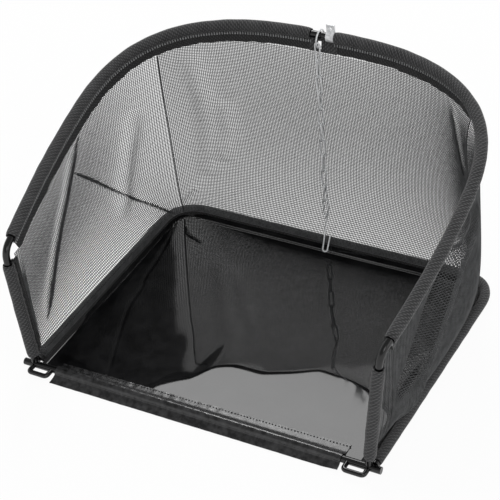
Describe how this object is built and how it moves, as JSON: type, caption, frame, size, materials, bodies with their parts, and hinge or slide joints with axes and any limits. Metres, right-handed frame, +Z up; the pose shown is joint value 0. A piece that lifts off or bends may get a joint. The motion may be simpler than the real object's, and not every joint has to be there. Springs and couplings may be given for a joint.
{
  "type": "mower grass collection bag",
  "caption": "Rod-framed grass catcher bag with see-through mesh walls, a glossy plastic floor, a front lip, wire mounting eyes and a hanging chain.",
  "frame": {"origin": "on the ground, under the middle of the bag's box", "axes": "+X to the right as one looks into the mouth, +Y from the mouth to the high rear bar, +Z up"},
  "size_m": [0.356, 0.276, 0.2203],
  "materials": {
    "black_paint": "gloss black paint on steel rod",
    "sleeve_fabric": "black woven polyester, matt",
    "wall_mesh": "dark grey see-through mesh, matt",
    "floor_plastic": "glossy black soft plastic sheet",
    "zinc_wire": "bright zinc-plated steel wire"
  },
  "bodies": {
    "frame": {"rim_rod": "black_paint", "floor_frame_rod": "black_paint", "front_rod": "black_paint", "left_mounting_eye": "black_paint", "right_mounting_eye": "black_paint", "rim_sleeve": "sleeve_fabric", "left_leg_sleeve": "sleeve_fabric", "right_leg_sleeve": "sleeve_fabric", "floor_edge_sleeve": "sleeve_fabric", "floor_binding": "sleeve_fabric", "left_mesh_panel": "wall_mesh", "rear_mesh_panel": "wall_mesh", "right_mesh_panel": "wall_mesh", "floor_sheet": "floor_plastic", "front_lip": "floor_plastic", "chain_clip": "zinc_wire"},
    "chain": {"chain_ring": "zinc_wire", "chain_link_01": "zinc_wire", "chain_link_02": "zinc_wire", "chain_link_03": "zinc_wire", "chain_link_04": "zinc_wire", "chain_link_05": "zinc_wire", "chain_link_06": "zinc_wire", "chain_link_07": "zinc_wire", "chain_link_08": "zinc_wire", "chain_link_09": "zinc_wire", "chain_link_10": "zinc_wire", "chain_link_11": "zinc_wire", "chain_hook": "zinc_wire"}
  },
  "joints": [
    {"name": "chain_swing", "type": "hinge", "parent": "frame", "child": "chain", "pos_m": [0, 0.12845, 0.20883], "axis": [-1, 0, 0], "range_deg": [0, 100]}
  ]
}
